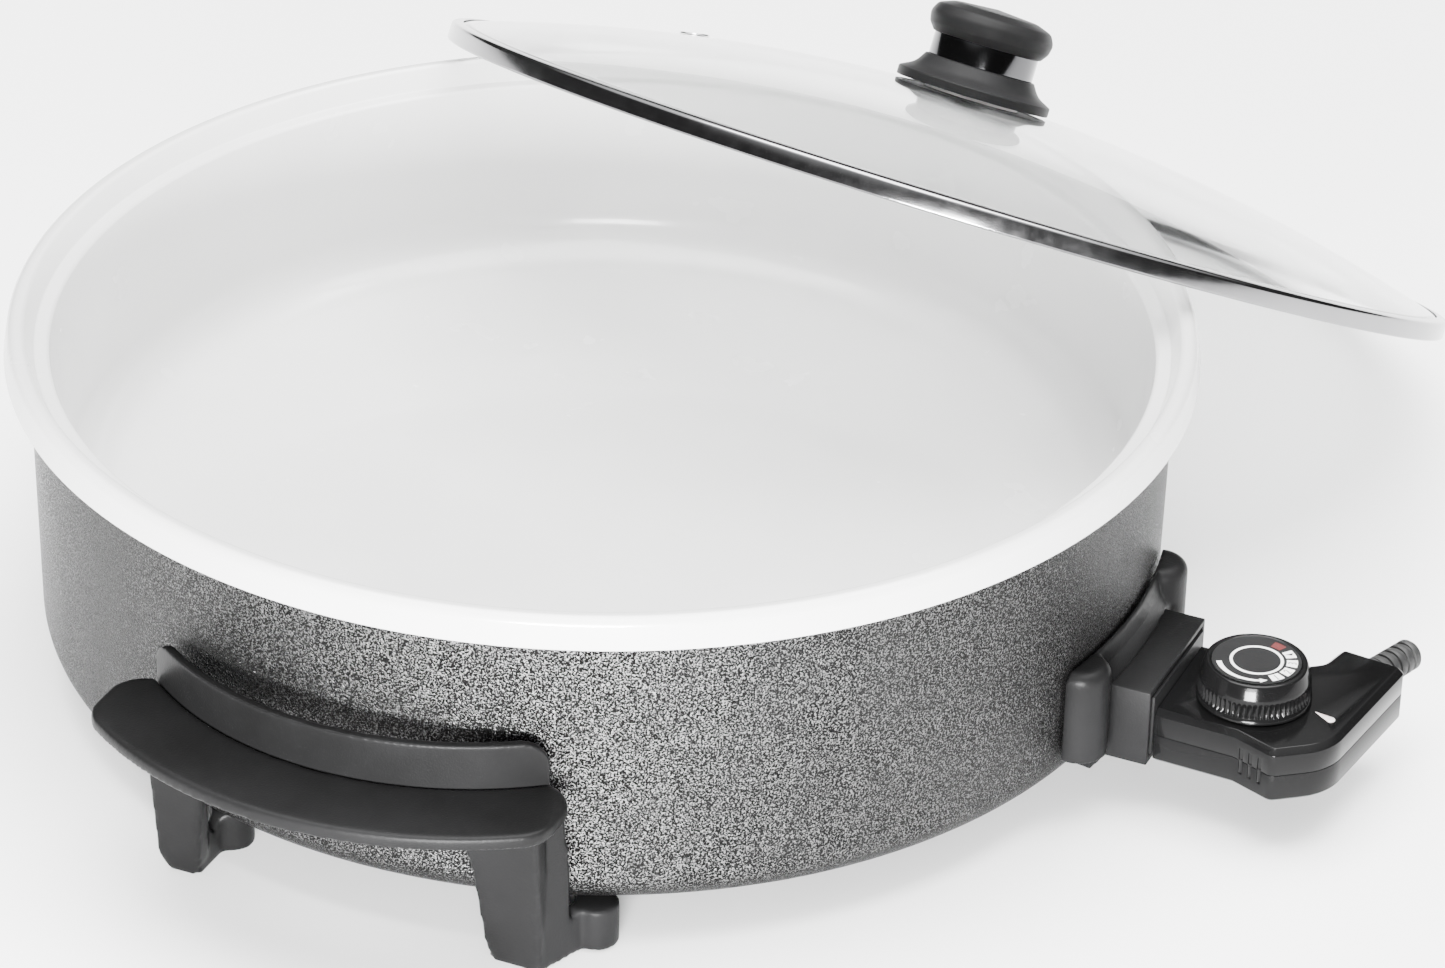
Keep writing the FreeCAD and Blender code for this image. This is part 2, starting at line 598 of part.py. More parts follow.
def case():
    upper = case_blank("case_upper", "case_seam + 0.05", "case_top")
    soften(upper, "Chamfer", 2.2, lambda e: e.BoundBox.ZLength < 0.01 and e.BoundBox.ZMax > size("case_top") - 0.1
           and e.BoundBox.Center.x > 233)
    hollow = case_blank("case_upper_hollow", "case_seam - 1", "case_top - case_wall - 0.6", size("case_wall") + 1.2)
    tools = [hollow, rod("spindle_hole", 4.2, 20, x="dial_x", z="case_seam + 2"),
             lens_blank("lens_hole", 34, 50), relief_rod("relief_seat_top", "relief_radius - 1.4", -6, 12),
             block("nose_gate_top", (228, 238), (-18, 18), (26.5, 40.6))]
    slots = [block(f"side_slot_{i}", (x, x + 1.6), (-34, -25.9 - 1.55 * i), (27.5, 38))
             for i, x in enumerate((264.4, 268.4, 272.4))]
    pegs = [(240, 18), (284, -18), (292, 22)]
    tools += slots
    tools += [rod(f"peg_bore_{i}", 1.4, 6.5, x=x, y=y, z="case_seam - 1") for i, (x, y) in enumerate(pegs)]
    bosses = [rod(f"boss_top_{i}", 3, 8, x=x, y=y, z="case_seam + 0.05") for i, (x, y) in enumerate(pegs)]
    shell_cut = cut("case_upper_shell", upper, *tools)
    boss_cut = cut("case_upper_bosses", join("bosses_top", *bosses), tools[-1], tools[-2], tools[-3])
    sub_part(join("case_upper_all", shell_cut, boss_cut), "housing_top")

    lower = case_blank("case_lower", "case_bottom", "case_seam - 0.05")
    soften(lower, "Chamfer", 1.2, lambda e: e.BoundBox.ZLength < 0.01 and e.BoundBox.ZMax < size("case_bottom") + 0.1)
    hollow = case_blank("case_lower_hollow", "case_bottom + case_wall", "case_seam + 1", size("case_wall") + 1.2)
    tools = [hollow, relief_rod("relief_seat_low", "relief_radius - 1.4", -6, 12),
             block("nose_gate_low", (228, 238), (-18, 18), (26.5, 40.6))] + slots
    tools += [rod(f"screw_bore_{i}", 1.6, 14, x=x, y=y, z=20) for i, (x, y) in enumerate(pegs)]
    tools += [rod(f"screw_sink_{i}", 2.8, 4, x=x, y=y, z=20) for i, (x, y) in enumerate(pegs)]
    bosses = [rod(f"boss_low_{i}", 3.6, 10.5, x=x, y=y, z="case_bottom + 0.4") for i, (x, y) in enumerate(pegs)]
    shell_cut = cut("case_lower_shell", lower, *tools)
    boss_cut = cut("case_lower_bosses", join("bosses_low", *bosses), *tools[-6:])
    sub_part(join("case_lower_all", shell_cut, boss_cut), "housing_bottom")

    screws = []
    for i, (x, y) in enumerate(pegs):
        head = rod(f"case_head_{i}", 2.7, 1.8, x=x, y=y, z=22.2)
        shank = rod(f"case_shank_{i}", 1.35, 14, x=x, y=y, z=24)
        screws.append(join(f"case_screw_{i}", head, shank))
    sub_part(group("case_screw_set", *screws), "housing_screws")
    sub_part(lens_blank("lens", 40.9, 43.7), "indicator_lens")
    lamp = join("lamp", rod("lamp_glass", 1.8, 6, x=285.5, y=-2.2, z=38, axis=(0, 1, 0), turn=90),
                primitive("Sphere", "lamp_end", {"Radius": 1.8}, x=285.5, y=-2.2, z=38))
    sub_part(lamp, "indicator_lamp")


def nose():
    """The part of the control that enters the socket, with its contacts and probe."""
    plug = block("nose_plug", (217.5, 231.2), (-25.6, 25.6), (25.2, 49.2))
    tenon = block("nose_tenon", (231.2, 236.5), (-17.9, 17.9), (26.6, 40.5))
    bores = [rod(f"nose_bore_{i}", r, 30, x=212, y=y, z="plug_height", axis=(0, 1, 0), turn=90)
             for i, (r, y) in enumerate(((3.2, -12), (3.2, 12), (3.0, 0)))]
    slit = block("nose_slit", (216, 229.4), (-4, 4), (47.9, 50))
    sub_part(cut("nose_cut", join("nose_blank", plug, tenon), *bores, slit), "contact_nose")

    sleeves = []
    for side in (-1, 1):
        tube = rod(f"sleeve_tube_{side}", 3.2, 18.5, x=218, y=12 * side, z="plug_height", axis=(0, 1, 0), turn=90)
        bore = rod(f"sleeve_bore_{side}", "pin_radius + 0.3", 14, x=217, y=12 * side, z="plug_height",
                   axis=(0, 1, 0), turn=90)
        sleeves.append(cut(f"sleeve_{side}", tube, bore))
    sub_part(group("sleeves", *sleeves), "contact_sleeves")

    length = "243 - probe_tip - probe_radius"
    shaft = rod("probe_shaft", "probe_radius", length, x="probe_tip + probe_radius", z="plug_height",
                axis=(0, 1, 0), turn=90)
    tip = primitive("Sphere", "probe_end", {"Radius": "probe_radius"}, x="probe_tip + probe_radius", z="plug_height")
    sub_part(join("probe", shaft, tip), "probe_rod")


def thermostat():
    """The switch inside the control, under the dial."""
    floor = block("frame_floor", (245, 275), (-7, 7), (24, 25.1))
    back = block("frame_back", (273.8, 275), (-7, 7), (25.1, 39.4))
    bridge = block("frame_bridge", (253, 273.8), (-7, 7), (38.2, 39.4))
    bush_hole = rod("bush_hole", 3.6, 6, x="dial_x", z=36)
    sub_part(cut("frame_cut", join("frame_blank", floor, back, bridge), bush_hole), "thermostat_frame")
    bush = cut("bush_cut", join("bush_blank", rod("bush_tube", 3.6, 3.6, x="dial_x", z=36.9),
                                rod("bush_collar", 5, 1.2, x="dial_x", z=37)),
               rod("bush_bore", "spindle_radius + 0.06", 8, x="dial_x", z=35))
    sub_part(bush, "spindle_bush")
    sub_part(block("blade", (243, 254.5), (-3, 3), (36.9, 37.7)), "bimetal_blade")
    arm = join("arm_blank", block("arm_strip", (249, 270), (-2.5, 2.5), (28.0, 28.6)),
               rod("arm_contact", 1.6, 0.8, x=251, z=27.2))
    sub_part(arm, "contact_arm")
    stack = [rod(f"stack_{i}", 3, tall, x=268, z=z) for i, (z, tall) in enumerate(((25.1, 2.9), (28.6, 2.4)))]
    sub_part(group("stack", *stack), "ceramic_stack")
    fixed = join("fixed_blank", rod("fixed_post", 2, 1.4, x=251, z=25.1), rod("fixed_tip", 1.6, 0.4, x=251, z=26.5))
    sub_part(fixed, "fixed_contact")
    terminals = []
    for i, (x, y) in enumerate(((284, 12), (292.5, 10))):
        body = block(f"terminal_body_{i}", (x - 3, x + 3), (y - 4, y + 4), (24, 31))
        entry = rod(f"terminal_entry_{i}", 1.5, 12, x=x, y=y - 6, z=27.5, axis=(1, 0, 0), turn=-90)
        terminals.append(cut(f"terminal_cut_{i}", body, entry))
    sub_part(group("terminals", *terminals), "line_terminals")
    bar = block("clamp_bar", (282.5, 297.5), (31, 36), (24, 27.4))
    sub_part(bar, "cord_clamp")
    heads = [rod(f"clamp_head_{i}", 2, 1.4, x=x, y=33.5, z=27.4) for i, x in enumerate((285, 295))]
    sub_part(group("clamp_set", *heads), "clamp_screws")


def strain_relief():
    root = relief_rod("relief_root", "relief_radius - 1.4", -6, 7)
    collar = relief_rod("relief_collar", "relief_radius + 0.6", 1.4, 2.2)
    stem = relief_rod("relief_stem", "relief_radius - 1.0", 1, "relief_length - 1")
    anchor = relief_rod("relief_anchor", "relief_radius + 0.6", -7.5, 2.5)
    ribs = [relief_rod(f"relief_rib_{i}", f"relief_radius - {0.06 * i:.2f}", 4.8 + 4.1 * i, 2.8) for i in range(5)]
    bore = relief_rod("relief_hole", "relief_bore", -9, "relief_length + 12")
    sub_part(cut("relief_cut", join("relief_blank", root, collar, stem, anchor, *ribs), bore), "strain_relief")


def dial():
    body = turned("knob", [
        ("spindle_radius", "knob_bottom + 2.4"),
        ("knob_skirt - 2.4", "knob_bottom + 2.4"),
        ("knob_skirt - 2.4", "knob_bottom"),
        ("knob_skirt", "knob_bottom"),
        ("knob_skirt", "knob_bottom + 2"),
        ("knob_skirt - 0.9", "knob_bottom + 2.8"),
        ("knob_skirt - 1.1", "knob_top - 5"),
        ("knob_face", "knob_top"),
        ("knob_face - 2.2", "knob_top"),
        ("knob_face - 2.2", "knob_top - 0.8"),
        ("spindle_radius", "knob_top - 0.8"),
    ])
    sub_part(move(body, x="dial_x"), "thermostat_knob")
    sub_part(rod("dial_disc", "knob_face - 2.25", 0.7, x="dial_x", z="knob_top - 0.75"), "dial_plate")
    sub_part(rod("spindle", "spindle_radius", "knob_top - 0.8 - 36", x="dial_x", z=36), "knob_spindle")
    pin = join("plunger_blank", rod("plunger_pin", 1.8, 4.3, x="dial_x", z=30.2),
               rod("plunger_head", 2.3, 0.9, x="dial_x", z=34.5))
    sub_part(pin, "setting_plunger")


def lid_place():
    """The lid's own frame: its axis leans away from upright towards its heading."""
    heading = FreeCAD.Rotation(FreeCAD.Vector(0, 0, 1), size("lid_heading"))
    tilt = FreeCAD.Rotation(FreeCAD.Vector(0, 1, 0), size("lid_tilt"))
    back = FreeCAD.Rotation(FreeCAD.Vector(0, 0, 1), -size("lid_heading"))
    return FreeCAD.Placement(FreeCAD.Vector(size("lid_x"), size("lid_y"), size("lid_z")), heading * tilt * back)


def lid_part(item, label):
    item.Placement = lid_place().multiply(item.Placement)
    sub_part(item, label)


def dome_height(radius):
    """Height of the glass's outer face at a distance from the lid's axis."""
    curve = size("dome_curve")
    return size("dome_top") - curve + math.sqrt(curve**2 - radius**2)


def vent_place():
    """On the dome at the vent, standing square to the glass."""
    away = size("vent_distance")
    turn = FreeCAD.Rotation(FreeCAD.Vector(0, 0, 1), size("vent_heading"))
    lean = FreeCAD.Rotation(FreeCAD.Vector(0, 1, 0), math.degrees(math.asin(away / size("dome_curve"))))
    spot = turn.multVec(FreeCAD.Vector(away, 0, dome_height(away)))
    return FreeCAD.Placement(spot, turn * lean)


def lid():
    outer = primitive("Sphere", "glass_outer", {"Radius": "dome_curve"}, z="dome_top - dome_curve")
    inner = primitive("Sphere", "glass_inner", {"Radius": "dome_curve - glass_thick"}, z="dome_top - dome_curve")
    edge = rod("glass_edge", "glass_radius", 60)
    screw_hole = rod("glass_screw_hole", 3.5, 20, z=28)
    vent_hole = turned("glass_vent_hole", [(0, -8), (4, -8), (4, 8), (0, 8)])
    vent_hole.Placement = vent_place()
    cap = overlap("glass_cap", cut("glass_skin", outer, inner), edge)
    lid_part(cut("glass_cut", cap, screw_hole, vent_hole), "lid_glass")

    ring = turned("lid_band", [
        ("lid_radius - 4.6", 0), ("lid_radius", 0), ("lid_radius", "ring_depth"),
        ("lid_radius - 4.4", "ring_depth + 0.95"), ("lid_radius - 4.4", "ring_depth + 0.25"),
        ("lid_radius - ring_sheet", "ring_depth - ring_sheet + 0.1"), ("lid_radius - ring_sheet", "ring_sheet"),
        ("lid_radius - 4.6", "ring_sheet"),
    ])
    lid_part(ring, "lid_ring")

    eyelet = turned("eyelet", [(2.6, -4.6), (6, -4.6), (6, -4.0), (3.9, -3.9), (3.9, 0.1), (6.4, 0.2), (6.2, 0.8),
                               (2.6, 0.9)])
    eyelet.Placement = vent_place()
    lid_part(eyelet, "vent_eyelet")

    lid_part(turned("knob_seal", [(3, "dome_top"), ("knob_foot - 0.6", "dome_top"),
                                  ("knob_foot - 0.6", "dome_top + 0.8"), (3, "dome_top + 0.8")]), "knob_gasket")
    base = turned("knob_base", [
        (2.6, "dome_top + 0.8"), ("knob_foot", "dome_top + 0.8"), ("knob_foot", "dome_top + 1.4"),
        ("knob_flare - 2.4", "dome_top + 1.4"), ("knob_flare - 2", "dome_top + 0.3"), ("knob_flare", "dome_top + 0.3"),
        ("knob_flare", "dome_top + 3.8"), ("knob_flare - 5.5", "dome_top + 6.8"), ("knob_neck + 1", "dome_top + 12"),
        (2.6, "dome_top + 12"),
    ])
    lid_part(base, "lid_knob_base")
    band = turned("knob_band", [
        ("knob_neck - 1.2", "dome_top + 12"), ("knob_neck", "dome_top + 12"),
        ("knob_neck", "dome_top + 21.1"), ("knob_neck - 1.2", "dome_top + 21.1"),
    ])
    lid_part(band, "lid_knob_band")
    cap = turned("knob_top_cap", [
        (0, "dome_top + 18.5"), (2.6, "dome_top + 18.5"), (2.6, "dome_top + 12"),
        ("knob_neck - 1.25", "dome_top + 12"), ("knob_neck - 1.25", "dome_top + 21.1"),
        ("knob_neck + 0.6", "dome_top + 21.1"), ("knob_cap - 0.8", "dome_top + 24.5"), ("knob_cap", "dome_top + 28"),
        ("knob_cap - 2.6", "dome_top + 32.5"), ("knob_cap - 9", "dome_top + 35.4"), (0, "dome_top + 36.8"),
    ])
    lid_part(cap, "lid_knob_cap")
    lid_part(turned("inner_washer", [(2.6, 32.2), (11, 32.2), (11, 33.4), (2.6, 33.4)]), "knob_washer")
    lid_part(join("lid_screw", rod("lid_screw_head", 5, 2.6, z=29.6),
                  rod("lid_screw_shank", 2.5, 23.5, z=32.2)), "lid_knob_screw")


pan_bowl()
shell_and_base()
heater()
socket()
handle("front_handle", 0)
handle("back_handle", 180)
case()
nose()
thermostat()
strain_relief()
dial()
lid()
doc.recompute()

for item in doc.Objects:
    if "Invalid" in item.State or "Error" in item.State:
        raise RuntimeError(f"{item.Name} failed: {item.State}")
for item in parts:
    if item.Shape.isNull() or not item.Shape.isValid():
        raise RuntimeError(f"{item.Label} has no valid shape")

os.makedirs("parts", exist_ok=True)
for item in parts:
    item.Shape.exportStep(f"parts/{item.Label}.step")
    print(item.Label, len(item.Shape.Solids), round(item.Shape.Volume))
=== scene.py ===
import json
import math

import bmesh
import bpy
from mathutils import Matrix, Vector


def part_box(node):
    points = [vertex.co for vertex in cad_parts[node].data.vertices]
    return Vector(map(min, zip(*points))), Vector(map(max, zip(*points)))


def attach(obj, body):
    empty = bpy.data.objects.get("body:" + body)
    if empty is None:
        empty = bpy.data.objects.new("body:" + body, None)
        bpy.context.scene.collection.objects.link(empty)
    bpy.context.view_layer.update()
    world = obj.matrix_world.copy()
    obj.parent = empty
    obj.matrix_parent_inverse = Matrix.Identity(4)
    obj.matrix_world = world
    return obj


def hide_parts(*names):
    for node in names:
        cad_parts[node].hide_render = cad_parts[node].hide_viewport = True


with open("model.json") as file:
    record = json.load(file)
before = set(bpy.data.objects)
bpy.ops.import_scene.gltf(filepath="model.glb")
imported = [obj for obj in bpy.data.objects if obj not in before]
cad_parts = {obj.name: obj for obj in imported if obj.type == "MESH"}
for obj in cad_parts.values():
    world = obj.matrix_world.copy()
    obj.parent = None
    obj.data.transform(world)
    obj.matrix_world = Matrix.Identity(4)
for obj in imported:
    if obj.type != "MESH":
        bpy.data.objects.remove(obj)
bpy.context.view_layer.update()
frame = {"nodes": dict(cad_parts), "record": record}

MM = 0.001


# ---------------------------------------------------------------- materials

class Nodes:
    """A small wrapper that builds a material's node tree."""

    def __init__(self, name, **settings):
        self.material = bpy.data.materials.new(name)
        self.material.use_nodes = True
        self.tree = self.material.node_tree
        self.shader = self.tree.nodes["Principled BSDF"]
        for socket, value in settings.items():
            self.shader.inputs[socket.replace("_", " ")].default_value = value
        self.coords = self.add("ShaderNodeTexCoord").outputs["Object"]

    def add(self, kind, inputs=None, **props):
        node = self.tree.nodes.new(kind)
        for prop, value in props.items():
            setattr(node, prop, value)
        for socket, value in (inputs or {}).items():
            target = node.inputs[socket]
            if isinstance(value, bpy.types.NodeSocket):
                self.tree.links.new(value, target)
            else:
                target.default_value = value
        return node

    def link(self, output, socket):
        self.tree.links.new(output, self.shader.inputs[socket])

    def noise(self, scale, detail=2.0, roughness=0.5, coords=None):
        inputs = {"Vector": coords or self.coords,
                  "Scale": scale, "Detail": detail, "Roughness": roughness}
        return self.add("ShaderNodeTexNoise", inputs).outputs["Fac"]

    def voronoi(self, scale):
        inputs = {"Vector": self.coords, "Scale": scale}
        return self.add("ShaderNodeTexVoronoi", inputs).outputs["Distance"]

    def ramp(self, value, stops):
        """Gray levels by value: stops is a list of (place, level)."""
        node = self.add("ShaderNodeValToRGB", {"Fac": value})
        ramp = node.color_ramp
        while len(ramp.elements) < len(stops):
            ramp.elements.new(0.5)
        for element, (place, level) in zip(ramp.elements, stops):
            element.position = place
            element.color = (level, level, level, 1)
        return node.outputs["Color"]

    def rescale(self, value, low, high, new_low, new_high):
        """Maps low..high to new_low..new_high, clamped."""
        inputs = {"Value": value, "From Min": low, "From Max": high,
                  "To Min": new_low, "To Max": new_high}
        return self.add("ShaderNodeMapRange", inputs).outputs["Result"]

    def math(self, operation, first, second):
        return self.add("ShaderNodeMath", {0: first, 1: second}, operation=operation).outputs[0]

    def mix(self, factor, first, second):
        node = self.add("ShaderNodeMix", data_type="RGBA")
        for index, value in ((0, factor), (6, first), (7, second)):
            if isinstance(value, bpy.types.NodeSocket):
                self.tree.links.new(value, node.inputs[index])
            else:
                node.inputs[index].default_value = value
        return node.outputs[2]

    def stretched(self, x, y, z):
        """Object coordinates scaled along each axis, to draw a pattern out along one."""
        inputs = {"Vector": self.coords, "Scale": (x, y, z)}
        return self.add("ShaderNodeMapping", inputs).outputs["Vector"]

    def bump(self, height, strength, distance):
        inputs = {"Height": height, "Strength": strength, "Distance": distance}
        self.link(self.add("ShaderNodeBump", inputs).outputs["Normal"], "Normal")


def gray(value, tint=(1.0, 1.0, 1.0)):
    """A colour with alpha: a gray level, tinted."""
    return (value * tint[0], value * tint[1], value * tint[2], 1.0)


def ceramic_coat():
    """Smooth white non-stick coating: faint mottling, a few specks and a soft clear gloss."""
    m = Nodes("ceramic_coat", Roughness=0.22, IOR=1.5, Coat_Weight=0.35, Coat_Roughness=0.06)
    cloud = m.noise(9, 3)
    fleck = m.voronoi(900)
    warm = (1.0, 1.0, 0.995)
    tone = m.mix(m.rescale(cloud, 0.3, 0.7, 0.0, 1.0), gray(0.59, warm), gray(0.63, warm))
    speck = m.rescale(fleck, 0.05, 0.09, 1.0, 0.0)
    m.link(m.mix(m.math("MULTIPLY", speck, 0.12), tone, gray(0.55)), "Base Color")
    m.link(m.rescale(m.noise(38, 3), 0.3, 0.7, 0.16, 0.28), "Roughness")
    m.bump(m.noise(260, 2), 0.10, 0.0004)
    return m.material


def hammertone():
    """Hammered enamel: bright silver worms in a near-black ground, glossy, with a pebbled surface."""
    m = Nodes("hammertone", Roughness=0.3, Specular_IOR_Level=0.10, Specular_Tint=(0.12, 0.12, 0.12, 1))
    warp = m.add("ShaderNodeTexNoise", {"Vector": m.coords, "Scale": 1300.0, "Detail": 1.0})
    moved = m.add("ShaderNodeVectorMath", {0: warp.outputs["Color"], "Scale": 0.0005}, operation="SCALE")
    shifted = m.add("ShaderNodeVectorMath", {0: m.coords, 1: moved.outputs["Vector"]}, operation="ADD")
    place = shifted.outputs["Vector"]
    worms = m.noise(1600, 1.0, 0.5, coords=place)
    fine = m.noise(4200, 1.0, 0.5, coords=place)
    blend = m.math("ADD", m.math("MULTIPLY", worms, 0.8), m.math("MULTIPLY", fine, 0.2))
    wide = m.noise(45, 2)
    flake = m.ramp(blend, [(0.0, 0.001), (0.505, 0.001), (0.53, 0.02), (0.57, 0.15), (1.0, 0.34)])
    shade = m.mix(m.rescale(wide, 0.3, 0.7, 0.0, 0.22), flake, gray(0.02))
    m.link(shade, "Base Color")
    m.link(m.ramp(blend, [(0.0, 0.0), (0.505, 0.0), (0.54, 1.0), (1.0, 1.0)]), "Metallic")
    m.link(m.rescale(blend, 0.42, 0.6, 0.26, 0.34), "Roughness")
    m.bump(blend, 0.8, 0.0006)
    return m.material


def molding(name, tone, roughness, grain, coat=0.0):
    """Dark moulded plastic: colour drift, fine grain, a few lighter rub marks and uneven gloss."""
    m = Nodes(name, Roughness=roughness, IOR=1.5, Coat_Weight=coat, Coat_Roughness=0.05,
              Specular_IOR_Level=0.06)
    drift = m.noise(14, 4, 0.6)
    grain_map = m.noise(1300, 2)
    marks = m.noise(160, 6, 0.75, coords=m.stretched(1.0, 0.25, 1.6))
    base = m.mix(m.rescale(drift, 0.3, 0.7, 0.0, 1.0),
                 gray(tone * 0.75), gray(tone * 1.35, (1.0, 1.0, 1.03)))
    worn = m.rescale(marks, 0.66, 0.78, 0.0, 0.35)
    m.link(m.mix(worn, base, gray(tone * 3.2)), "Base Color")
    m.link(m.math("ADD", m.rescale(drift, 0.3, 0.7, roughness * 0.85, roughness * 1.2),
                  m.rescale(marks, 0.6, 0.8, 0.0, 0.08)), "Roughness")
    m.bump(grain_map, grain, 0.0003)
    return m.material


def metal(name, color, roughness, brush=(1.0, 1.0, 1.0), scratch=0.10, scale=220.0):
    """Bare metal: brushing along one way, smudged gloss and a slight tone change."""
    m = Nodes(name, Metallic=1.0, Roughness=roughness)
    lines = m.noise(scale, 4, 0.65, coords=m.stretched(*brush))
    smudge = m.noise(22, 4)
    m.link(m.mix(m.rescale(smudge, 0.3, 0.7, 0.0, 1.0), gray(0.86, color), gray(1.0, color)),
           "Base Color")
    total = m.math("ADD", m.rescale(lines, 0.3, 0.7, roughness * 0.75, roughness * 1.35),
                   m.rescale(smudge, 0.45, 0.75, 0.0, 0.06))
    m.link(total, "Roughness")
    m.bump(lines, scratch, 0.0002)
    return m.material


def painted_sheet():
    """Satin black enamel on the base plate, with dust-sized orange peel."""
    m = Nodes("base_sheet", Roughness=0.42)
    peel = m.noise(420, 2)
    m.link(m.mix(m.rescale(m.noise(18, 3), 0.3, 0.7, 0.0, 1.0), gray(0.02), gray(0.045)), "Base Color")
    m.link(m.rescale(peel, 0.3, 0.7, 0.34, 0.52), "Roughness")
    m.bump(peel, 0.25, 0.0004)
    return m.material


def stoneware(name, tone, tint):
    """Unglazed technical ceramic: chalky, grainy and slightly stained."""
    m = Nodes(name, Roughness=0.7)
    stain = m.rescale(m.noise(90, 4), 0.3, 0.75, 0.0, 1.0)
    m.link(m.mix(stain, gray(tone, tint), gray(tone * 0.8, tint)), "Base Color")
    m.link(m.rescale(m.noise(50, 3), 0.3, 0.7, 0.6, 0.82), "Roughness")
    m.bump(m.noise(900, 3), 0.3, 0.0003)
    return m.material


def rubber(name, tone, tint=(1.0, 1.0, 1.0)):
    """Soft rubber: dull, fine-grained, lighter in patches."""
    m = Nodes(name, Roughness=0.62)
    patches = m.rescale(m.noise(70, 4), 0.35, 0.7, 0.0, 1.0)
    m.link(m.mix(patches, gray(tone, tint), gray(tone * 1.5, tint)), "Base Color")
    m.link(m.rescale(m.noise(120, 3), 0.3, 0.7, 0.52, 0.72), "Roughness")
    m.bump(m.noise(1100, 2), 0.25, 0.0003)
    return m.material


def clear_glass():
    """Tempered lid glass: clear, faintly grey, with slight ripple and a thin film of wiping marks."""
    m = Nodes("clear_glass", Roughness=0.02, IOR=1.46, Transmission_Weight=1.0)
    film = m.noise(26, 4, 0.6, coords=m.stretched(1.0, 0.5, 1.0))
    m.link(m.mix(m.rescale(film, 0.3, 0.7, 0.0, 1.0), (0.965, 0.975, 0.972, 1), (0.985, 0.99, 0.988, 1)),
           "Base Color")
    m.link(m.rescale(film, 0.5, 0.8, 0.015, 0.06), "Roughness")
    m.bump(m.noise(11, 1), 0.05, 0.0008)
    return m.material


def ink(name, color, worn):
    """Screen-printed ink: thin, slightly uneven and rubbed at random spots."""
    m = Nodes(name, Roughness=0.45)
    patches = m.noise(900, 4, 0.7)
    m.link(m.mix(m.rescale(patches, 0.35, 0.75, 0.0, 1.0), (*color, 1), (*worn, 1)), "Base Color")
    m.link(m.rescale(patches, 0.3, 0.7, 0.38, 0.55), "Roughness")
    m.bump(m.noise(2600, 2), 0.12, 0.0001)
    return m.material


def tinted(name, color, transmission, roughness):
    """Coloured clear plastic or glass, deeper in patches."""
    m = Nodes(name, Roughness=roughness, IOR=1.49, Transmission_Weight=transmission)
    deeper = (color[0] * 0.8, color[1] * 0.6, color[2] * 0.6, 1)
    m.link(m.mix(m.rescale(m.noise(300, 2), 0.3, 0.7, 0.0, 1.0), (*color, 1), deeper), "Base Color")
    m.bump(m.noise(600, 1), 0.1, 0.0002)
    return m.material


MATERIALS = {
    "ceramic_coat": ceramic_coat(),
    "hammertone": hammertone(),
    "base_sheet": painted_sheet(),
    "black_molding": molding("black_molding", 0.005, 0.38, 0.22),
    "black_gloss": molding("black_gloss", 0.003, 0.16, 0.03, coat=0.10),
    "steel": metal("steel", (0.62, 0.62, 0.63), 0.32),
    "satin_black": molding("satin_black", 0.012, 0.42, 0.05),
    # The lid knob's band is bright chrome, but this look is near-black: a painted dark reflection,
    # standing in for the dark surroundings that polished chrome mirrors.
    "chrome_painted_dark_reflection": metal("chrome_painted_dark_reflection", (0.085, 0.085, 0.088), 0.07, scratch=0.03, scale=150.0),
    # The lid's ring is bright steel, but this look is a darkened steel: a painted dark reflection,
    # standing in for the dark surroundings that the polished ring mirrors.
    "steel_painted_dark_reflection": metal("steel_painted_dark_reflection", (0.26, 0.26, 0.265), 0.12, scratch=0.04, scale=150.0),
    "bright_steel": metal("bright_steel", (0.80, 0.80, 0.81), 0.14, scratch=0.05, scale=150.0),
    "brass": metal("brass", (0.74, 0.56, 0.28), 0.28),
    "ceramic": stoneware("ceramic", 0.80, (1.0, 0.97, 0.90)),
    "clear_glass": clear_glass(),
    "lamp_glass": tinted("lamp_glass", (0.95, 0.55, 0.35), 0.8, 0.05),
    "red_lens": tinted("red_lens", (0.78, 0.78, 0.76), 0.25, 0.18),
    "dial_print": molding("dial_print", 0.012, 0.38, 0.10),
    "soft_rubber": rubber("soft_rubber", 0.006),
    "pale_rubber": rubber("pale_rubber", 0.62, (1.0, 0.99, 0.96)),
    "aluminium": metal("aluminium", (0.72, 0.72, 0.73), 0.42, scratch=0.25, scale=380.0),
}
INKS = {
    "white": ink("white_ink", (0.86, 0.86, 0.84), (0.66, 0.66, 0.65)),
    "black": ink("black_ink", (0.03, 0.03, 0.03), (0.07, 0.07, 0.07)),
    "red": ink("red_ink", (0.09, 0.003, 0.003), (0.06, 0.003, 0.003)),
}
SLOT_OF = {row["node"]: row["material_slot"] for row in frame["record"]["subparts"]}
BODY_OF = {node: body for body, nodes in frame["record"]["behaviour"]["bodies"].items()
           for node in nodes}


def paint(piece, material):
    piece.data.materials.clear()
    piece.data.materials.append(material)


def softened_edges(piece, bevel, angle):
    """A two-step bevel, in millimetres, on every edge sharper than the angle."""
    edge = piece.modifiers.new("bevel", "BEVEL")
    edge.width = bevel * MM
    edge.segments = 2
    edge.limit_method = "ANGLE"
    edge.angle_limit = math.radians(angle)


def copy_of(node, suffix):
    """A new object with a copy of a CAD node's mesh."""
    piece = bpy.data.objects.new(f"{node}_{suffix}", frame["nodes"][node].data.copy())
    bpy.context.scene.collection.objects.link(piece)
    return piece


def apply_modifiers(piece):
    """Replaces the piece's mesh by what its modifiers make of it, and returns that mesh."""
    bpy.context.view_layer.update()
    result = bpy.data.meshes.new_from_object(piece.evaluated_get(bpy.context.evaluated_depsgraph_get()))
    piece.modifiers.clear()
    piece.data = result
    result.shade_smooth()
    return result


def stand_for(piece, node):
    """Paints a piece made from a CAD node and puts it in that node's place."""
    paint(piece, MATERIALS[SLOT_OF[node]])
    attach(piece, BODY_OF[node])
    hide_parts(node)


# ---------------------------------------------------------------- shapes

